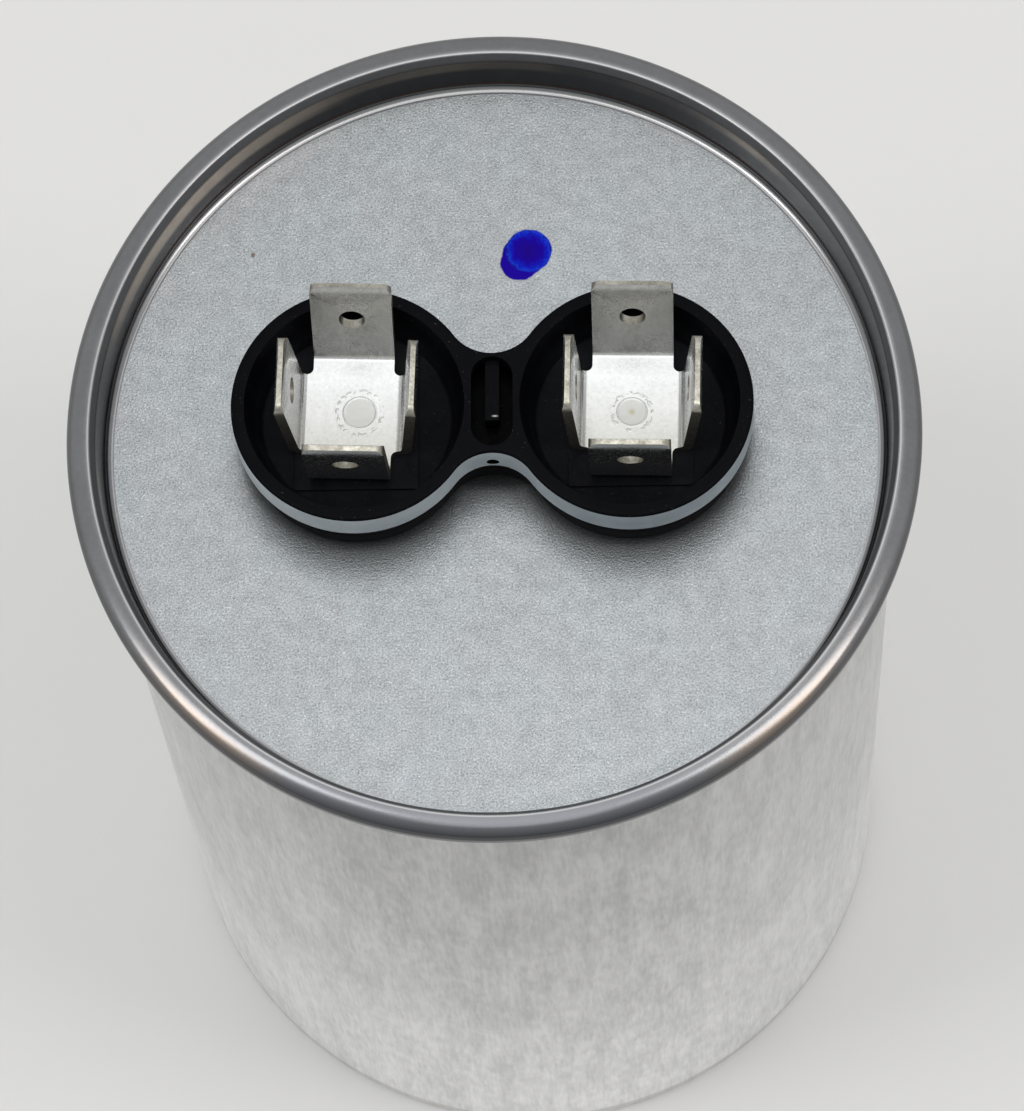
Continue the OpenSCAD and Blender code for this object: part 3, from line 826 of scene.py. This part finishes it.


# one sheet: a matte sparkling panel with painted shade round the block, a bend at its edge with a painted highlight at
# the rear, a dark wall with a painted sheen on it, and the bright rolled seam with a painted highlight on its crest and
# painted shade on its underside and front
lidFinish = {
    "grain": (6500.0, 900.0, 0.2), "panel": [(0.30, (0.225, 0.243, 0.255)), (0.70, (0.485, 0.513, 0.527))],
    "glint": 5200.0, "glints": (0.64, 0.76, 0.0, 0.35), "glintColour": (0.85, 0.86, 0.86),
    # painted shade: the panel a little darker towards the rear
    "shadeRearward": (-28.0, 28.0, 1.0, 0.96),
    # painted shade: the panel darkened in a ragged ring round each cup of the block and round its waist
    "shadeAroundCup": (-1.0, 9.5, 0.6), "shadeRagged": 0.2, "shadeAroundWaist": {"X": (-4.6, 4.6, 0.7), "Y": (-3.6, 5.0, 0.5)},
    "shadeShare": 0.62, "shadeColour": (0.02, 0.02, 0.022),
    "warm": 130.0, "warmPatches": (0.45, 0.62, 0.0, 1.0), "warmColour": (1.0, 0.972, 0.972),
    "speck": ((-19.37, 16.55), 0.21, 0.8), "speckEdge": (-1.0, 0.9, 0.2), "speckShare": 0.75,
    "speckColour": (0.12, 0.06, 0.03),
    "brushed": (2500.0, 350.0, 0.5), "seam": [(0.3, (0.225, 0.226, 0.232)), (0.7, (0.265, 0.266, 0.272))],
    # painted shade: the seam duller towards the front
    "front": (-23.0, -30.0, 0.0, 0.8), "frontShadeColour": (0.175, 0.182, 0.198),
    # painted highlight: a warm pale tint on the seam's outer curve at front left and front right
    "warmHighlight": {"in": {"Radius": (32.65, 33.35, 0.3), "Aside": (18.0, 26.0, 3.0), "Y": (-40.0, -17.0, 2.0)},
              "share": 0.6, "colour": (0.34, 0.265, 0.20)},
    # painted shade: the seam's outer side darkened towards its underside
    "shadeDownward": (100.74, 100.15, 0.0, 0.75),
    "under": {"in": {"Radius": (32.6, 40.0, 0.4)}, "colour": (0.05, 0.048, 0.05)},
    # painted highlight: a pale line along the seam's crest
    "crestHighlight": {"in": {"Radius": (31.72, 31.92, 0.05), "Z": (100.88, 110.0, 0.03)}, "share": 0.7,
             "colour": (0.42, 0.42, 0.42)},
    # painted highlight: the bend at the panel's edge made pale at the rear
    "bend": {"in": {"Z": (90.0, 96.75, 0.05), "Y": (14.0, 99.0, 5.0)}, "share": 0.5, "colour": (0.42, 0.42, 0.42)},
    "wall": (0.06, 0.06, 0.063), "sheenScale": 90.0, "sheenStretch": (1, 1, 0.2), "sheenPatches": (0.40, 0.58, 0.1, 1.0),
    # painted reflection: a patchy warm sheen on the upper part of the wall
    "upperWallSheen": {"in": {"Z": (99.1, 100.3, 0.3)}, "colour": (0.27, 0.23, 0.19)},
    # painted reflection: a paler warm patch on the wall at the left rear
    "leftRearSheen": {"in": {"Z": (98.5, 100.2, 0.35), "X": (-31.0, -14.0, 4.0), "Y": (8.0, 40.0, 5.0)}, "share": 0.7,
               "colour": (0.42, 0.36, 0.30)},
    "rust": {"in": {"Z": (96.7, 97.0, 0.1)}, "share": 0.7, "colour": (0.16, 0.085, 0.06)},
    "isWall": {"Z": (96.75, 100.3, 0.12), "Radius": (0.0, 31.68, 0.05)}, "isSeam": {"Radius": (30.25, 99.0, 0.08)},
    "isLip": {"Z": (100.0, 110.0, 0.2), "Radius": (0.0, 31.75, 0.05)},
    "panelRough": (0.3, 0.7, 0.37, 0.29), "seamRough": (0.0, 1.0, 0.22, 0.5), "bump": 0.25,
}


def lidPanel(tree, place, fine, s):
    cups = [(side * block["pitch"] / 2, block["y"]) for side in (-1, 1)]
    # painted shade round the block's foot
    around = [band(tree, spot(tree, place, cup, 1.0, s["shadeRagged"]), *s["shadeAroundCup"]) for cup in cups]
    around = calc(tree, "MAXIMUM", *around, within(tree, place, s["shadeAroundWaist"]))
    speck = band(tree, spot(tree, place, *s["speck"]), *s["speckEdge"])
    base = ramp(tree, fine, s["panel"])
    base = blend(tree, spread(tree, noise(tree, s["glint"]), *s["glints"]), base, s["glintColour"])
    # painted shade towards the rear
    base = blend(tree, 1.0, base, spread(tree, place["Y"], *s["shadeRearward"]), "MULTIPLY")
    base = blend(tree, calc(tree, "MULTIPLY", around, s["shadeShare"]), base, s["shadeColour"])
    base = blend(tree, spread(tree, noise(tree, s["warm"]), *s["warmPatches"]), base, s["warmColour"], "MULTIPLY")
    base = withInk(tree, place, base, inkFinish)
    return blend(tree, calc(tree, "MULTIPLY", speck, s["speckShare"]), base, s["speckColour"])


def lidSeam(tree, place, s):
    base = ramp(tree, grain(tree, *s["brushed"]), s["seam"])
    # painted shade at the front
    base = blend(tree, spread(tree, place["Y"], *s["front"]), base, s["frontShadeColour"])
    # painted warm highlight
    base = laid(tree, place, base, s["warmHighlight"])
    # painted shade on the seam's underside
    base = laid(tree, place, base, {**s["under"], "share": spread(tree, place["Z"], *s["shadeDownward"])})
    # painted highlights on the seam's crest and on the rear of the bend at the panel's edge
    return laid(tree, place, laid(tree, place, base, s["crestHighlight"]), s["bend"])


def lidWall(tree, place, s):
    # painted reflection, patchy, on the upper wall
    sheenPatches = spread(tree, noise(tree, s["sheenScale"], stretch=s["sheenStretch"]), *s["sheenPatches"])
    base = laid(tree, place, s["wall"], {**s["upperWallSheen"], "share": sheenPatches})
    # painted reflection at the left rear
    return laid(tree, place, laid(tree, place, base, s["leftRearSheen"]), s["rust"])


def makeLidMetal(s):
    material, tree, shader = newMaterial("lidSheetMetal")
    place = useGroup(tree, "place")
    fine = grain(tree, *s["grain"])
    isSeam, isWall, isLip = (within(tree, place, s[k]) for k in ("isSeam", "isWall", "isLip"))
    raised = blend(tree, isWall, lidSeam(tree, place, s), lidWall(tree, place, s))
    base = blend(tree, isSeam, lidPanel(tree, place, fine, s), raised)
    rough = blend(tree, isSeam, spread(tree, fine, *s["panelRough"]), spread(tree, isLip, *s["seamRough"]))
    feed(tree, shader, base, rough, metal=1.0)
    bump(tree, shader, calc(tree, "MULTIPLY", fine, calc(tree, "SUBTRACT", 1.0, isSeam)), s["bump"])
    return material


# black moulding; the outer side wall of its wide part carries a painted reflection, pale, paler low down and towards
# the left, marked by the attribute outerWall
blockFinish = {
    "grain": (4500.0, 500.0, 0.5), "black": [(0.3, (0.0042, 0.0046, 0.0060)), (0.7, (0.0105, 0.0112, 0.0135))],
    "top": {"in": {"Z": (101.2, 110.0, 0.9)}, "share": 0.7, "colour": (0.0015, 0.0016, 0.0024)},
    # painted shade: the slot's trough made black
    "troughShade": {"in": {"X": (-1.7, 1.7, 0.02), "Z": (90.0, 102.3, 0.1)}, "share": 1.0,
               "colour": (0.0004, 0.0004, 0.0005)},
    "dust": (5200.0, 2.0), "dustSpots": (0.70, 0.80, 0.0, 0.35), "dustColour": (0.20, 0.21, 0.22),
    # painted highlight: a small pale spot on the front end of the rib in the slot
    "ribHighlight": {"in": {"X": (0.04, 0.38, 0.16), "Y": (0.11, 0.21, 0.07), "Z": (102.3, 110.0, 0.1)}, "share": 1.0,
             "colour": (0.62, 0.68, 0.64)},
    # painted reflection on the outer side wall, paler low down
    "wallReflection": (0.38, 0.44, 0.48),
    "low": {"in": {"Z": (90.0, 101.2, 0.6)}, "share": 1.0, "colour": (0.43, 0.49, 0.53)},
    # painted light: the wall's reflection paler towards the left
    "lightFromLeft": (8.0, -18.0, 0.0, 1.0), "leftLitColour": (0.60, 0.66, 0.69),
    "patchy": (0.3, 0.7, 0.0, 0.35), "patchColour": (0.19, 0.22, 0.24),
    "reflectingWall": (100.4, 110.0, 0.05), "rough": (0.3, 0.7, 0.30, 0.40), "gleam": 0.03, "bump": 0.06,
}


def makeBlockPlastic(s):
    material, tree, shader = newMaterial("mouldedBlackPlastic")
    place = useGroup(tree, "place")
    fine = grain(tree, *s["grain"])
    # painted shade in the slot's trough
    black = laid(tree, place, laid(tree, place, ramp(tree, fine, s["black"]), s["top"]), s["troughShade"])
    black = blend(tree, spread(tree, noise(tree, *s["dust"]), *s["dustSpots"]), black, s["dustColour"])
    # painted highlight on the rib
    black = laid(tree, place, black, s["ribHighlight"])
    # painted reflection on the outer side wall
    wallReflection = laid(tree, place, s["wallReflection"], s["low"])
    # painted light, paler towards the left
    wallReflection = blend(tree, spread(tree, place["X"], *s["lightFromLeft"]), wallReflection, s["leftLitColour"])
    wallReflection = blend(tree, spread(tree, fine, *s["patchy"]), wallReflection, s["patchColour"])
    wall = node(tree, "Attribute", attribute_name="outerWall").outputs["Fac"]
    reflectingWall = calc(tree, "MULTIPLY", wall, band(tree, place["Z"], *s["reflectingWall"]))
    feed(tree, shader, blend(tree, reflectingWall, black, wallReflection), spread(tree, fine, *s["rough"]), gleam=s["gleam"])
    bump(tree, shader, fine, s["bump"])
    return material


# plated sheet with a spot weld on its base: a flat disc inside a ridge, and a broken ring of splashes round it; painted
# shade darkens the front of the base and the foot of the rear blade
plateFinish = {
    "grain": (3500.0, 300.0, 0.4), "bright": [(0.3, (0.78, 0.775, 0.75)), (0.7, (0.88, 0.88, 0.865))],
    "isBase": {"Z": (90.0, 100.55, 0.05)}, "baseShare": 0.9, "baseColour": (0.62, 0.63, 0.635),
    # painted shade: the base darker towards its front
    "baseShadeForward": (-3.0, 4.0, 0.9, 0.0), "frontShadeColour": (0.39, 0.385, 0.345),
    # the rear blade's colour: mottled at random, and painted shade darkening it towards its foot
    "isRear": {"Y": (5.9, 30.0, 0.25)}, "rearCloud": (2200.0, 420.0, 0.55), "cloudStretch": (1, 1, 0.5),
    "rearClouds": (0.38, 0.62, 0.10, -0.10), "rearShadeUpward": (101.0, 108.0, 0.42, 0.10), "rearColour": (0.10, 0.10, 0.09),
    "weldRagged": 0.10, "ridge": 0.05, "ridgeSoft": 0.08, "splash": 0.12, "splashSoft": 0.12,
    "drops": 2600.0, "dropped": (0.50, 0.60, 0.0, 1.0), "markShare": 0.2, "markColour": (0.30, 0.30, 0.27),
    "discInside": 0.1, "discSoft": 0.08, "discShare": 0.25, "discColour": (0.50, 0.50, 0.45), "discRough": 0.12,
    "burn": (-1.0, 0.2, 0.22), "burnColour": (0.42, 0.37, 0.22),
    "rough": (0.3, 0.7, 0.30, 0.20), "grainHeight": 0.25, "markHeight": 0.3, "bump": 0.5,
    # each weld's centre, the radii of its ridge and its ring of splashes, and how strongly its middle is burnt
    "Left": {"at": (-10.46, 1.38), "ring": 1.28, "splashes": 1.80, "burnt": 0.0},
    "Right": {"at": (10.88, 1.12), "ring": 1.15, "splashes": 1.55, "burnt": 0.8},
}


def ringMask(tree, reach, radius, half, soft):
    return band(tree, reach, radius - half, radius + half, soft)


def makePlate(name, s):
    material, tree, shader = newMaterial("platedSheet" + name)
    place, own = useGroup(tree, "place"), s[name]
    fine = grain(tree, *s["grain"])
    isBase, inRear = within(tree, place, s["isBase"]), within(tree, place, s["isRear"])
    onBase = lambda *masks: calc(tree, "MULTIPLY", isBase, *masks)
    base = blend(tree, onBase(s["baseShare"]), ramp(tree, fine, s["bright"]), s["baseColour"])
    # painted shade towards the base's front
    base = blend(tree, onBase(spread(tree, place["Y"], *s["baseShadeForward"])), base, s["frontShadeColour"])
    rear = calc(tree, "MULTIPLY", inRear, calc(tree, "SUBTRACT", 1.0, isBase))
    # random mottling plus painted shade low on the rear blade
    mottleAndShade = calc(tree, "ADD", spread(tree, grain(tree, *s["rearCloud"], s["cloudStretch"]), *s["rearClouds"]),
                spread(tree, place["Z"], *s["rearShadeUpward"]))
    base = blend(tree, calc(tree, "MULTIPLY", rear, mottleAndShade), base, s["rearColour"])
    reach = spot(tree, place, own["at"], 1.0, s["weldRagged"])
    ridge = ringMask(tree, reach, own["ring"], s["ridge"], s["ridgeSoft"])
    splashes = calc(tree, "MULTIPLY", ringMask(tree, reach, own["splashes"], s["splash"], s["splashSoft"]),
                    spread(tree, noise(tree, s["drops"]), *s["dropped"]))
    marked = onBase(calc(tree, "ADD", ridge, splashes))
    base = blend(tree, calc(tree, "MULTIPLY", marked, s["markShare"]), base, s["markColour"])
    disc = onBase(band(tree, reach, -1.0, own["ring"] - s["discInside"], s["discSoft"]))
    base = blend(tree, calc(tree, "MULTIPLY", disc, s["discShare"]), base, s["discColour"])
    base = blend(tree, onBase(band(tree, reach, *s["burn"]), own["burnt"]), base, s["burnColour"])
    rough = calc(tree, "ADD", spread(tree, fine, *s["rough"]), calc(tree, "MULTIPLY", disc, s["discRough"]))
    feed(tree, shader, base, rough, metal=1.0)
    height = calc(tree, "ADD", calc(tree, "MULTIPLY", fine, s["grainHeight"]),
                  calc(tree, "MULTIPLY", marked, s["markHeight"]))
    bump(tree, shader, height, s["bump"])
    return material


# finishes of one grain: it runs from the first colour to the second, and over the grain's middle values from the
# first roughness to the second
grainMiddle = (0.3, 0.7)
plainFinishes = {
    "blackRubber": {"grain": (3000.0, 500.0, 0.5), "rough": (0.7, 0.7), "gleam": 0.1, "bump": 0.1,
                    "from": (0.3, (0.003, 0.003, 0.004)), "to": (0.7, (0.009, 0.009, 0.010))},
    "shearedEdge": {"grain": (5000.0, 900.0, 0.5), "rough": (0.45, 0.30), "metal": 1.0, "bump": 0.3,
                    "from": (0.35, (0.30, 0.285, 0.235)), "to": (0.65, (0.64, 0.62, 0.54))},
    "paleBoard": {"grain": (60.0, 6.0, 0.7), "rough": (0.85, 0.85), "gleam": 0.2, "bump": 0.0,
                  "from": (0.3, (0.775, 0.773, 0.766)), "to": (0.7, (0.80, 0.798, 0.79))},
}


def makePlain(name, s):
    material, tree, shader = newMaterial(name)
    fine = grain(tree, *s["grain"])
    feed(tree, shader, ramp(tree, fine, [s["from"], s["to"]]), spread(tree, fine, *grainMiddle, *s["rough"]),
         s.get("metal", 0.0), s.get("gleam", 0.5))
    if s["bump"]:
        bump(tree, shader, fine, s["bump"])
    return material


plain = {name: makePlain(name, s) for name, s in plainFinishes.items()}
dress(canShell, makeCanMetal(canFinish))
dress(lidSheet, makeLidMetal(lidFinish))
dress(blockBody, makeBlockPlastic(blockFinish))
dress(gasketPad, plain["blackRubber"])
for name, piece in terminals.items():
    dress(piece, makePlate(name, plateFinish), plain["shearedEdge"])
print("materials made")


# the pieces inside the can stay the CAD solids: darker colour, lighter colour, metal, roughness
insideGrain = {"grain": (1500.0, 200.0, 0.5), "rougher": 0.06, "smoother": 0.04, "bump": 0.1}
insideFinishes = {
    "stud": ((0.60, 0.48, 0.25), (0.75, 0.62, 0.36), 1.0, 0.3),
    "bushing": ((0.70, 0.68, 0.62), (0.80, 0.78, 0.73), 0.0, 0.6),
    "stud_washer": ((0.50, 0.50, 0.50), (0.65, 0.65, 0.65), 1.0, 0.35),
    "interrupter": ((0.30, 0.19, 0.11), (0.42, 0.28, 0.17), 0.0, 0.8),
    "top_spacer": ((0.66, 0.64, 0.58), (0.74, 0.72, 0.66), 0.0, 0.6),
    "winding": ((0.52, 0.50, 0.42), (0.66, 0.64, 0.54), 0.0, 0.35),
    "core_tube": ((0.70, 0.70, 0.68), (0.80, 0.80, 0.78), 0.0, 0.5),
    "end_spray": ((0.26, 0.26, 0.27), (0.42, 0.42, 0.43), 0.8, 0.6),
    "winding_wrap": ((0.60, 0.55, 0.40), (0.70, 0.66, 0.50), 0.0, 0.4),
    "bottom_insulator": ((0.30, 0.19, 0.11), (0.42, 0.28, 0.17), 0.0, 0.8),
    "lead_sleeve": ((0.35, 0.03, 0.02), (0.50, 0.06, 0.04), 0.0, 0.7),
    "_lead": ((0.55, 0.52, 0.48), (0.72, 0.70, 0.66), 1.0, 0.3),
    "solder": ((0.55, 0.55, 0.56), (0.75, 0.75, 0.76), 1.0, 0.25),
}


def makeInside(key, dark, light, metal, rough):
    s, (start, end) = insideGrain, grainMiddle
    return makePlain("inside_" + key.strip("_"), {
        "grain": s["grain"], "from": (start, dark), "to": (end, light), "metal": metal, "bump": s["bump"],
        "rough": (rough + s["rougher"], rough - s["smoother"])})


def dressInside(finishes):
    # a node takes the finish with the longest key that its name holds
    replaced = {"can", "lid", "terminal_block", "block_gasket", "terminal_left", "terminal_right"}
    made = {key: makeInside(key, *finish) for key, finish in finishes.items()}
    for name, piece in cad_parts.items():
        if name not in replaced:
            dress(piece, made[max((key for key in made if key in name), key=len)])


dressInside(insideFinishes)
print("inside pieces dressed")


floorHalf = 3                                  # m


def makeFloor(half):
    mesh = bpy.data.meshes.new("floor")
    mesh.from_pydata([(-half, -half, 0), (half, -half, 0), (half, half, 0), (-half, half, 0)], [], [(0, 1, 2, 3)])
    floor = bpy.data.objects.new("floor", mesh)
    bpy.context.scene.collection.objects.link(floor)
    dress(floor, plain["paleBoard"])


makeFloor(floorHalf)
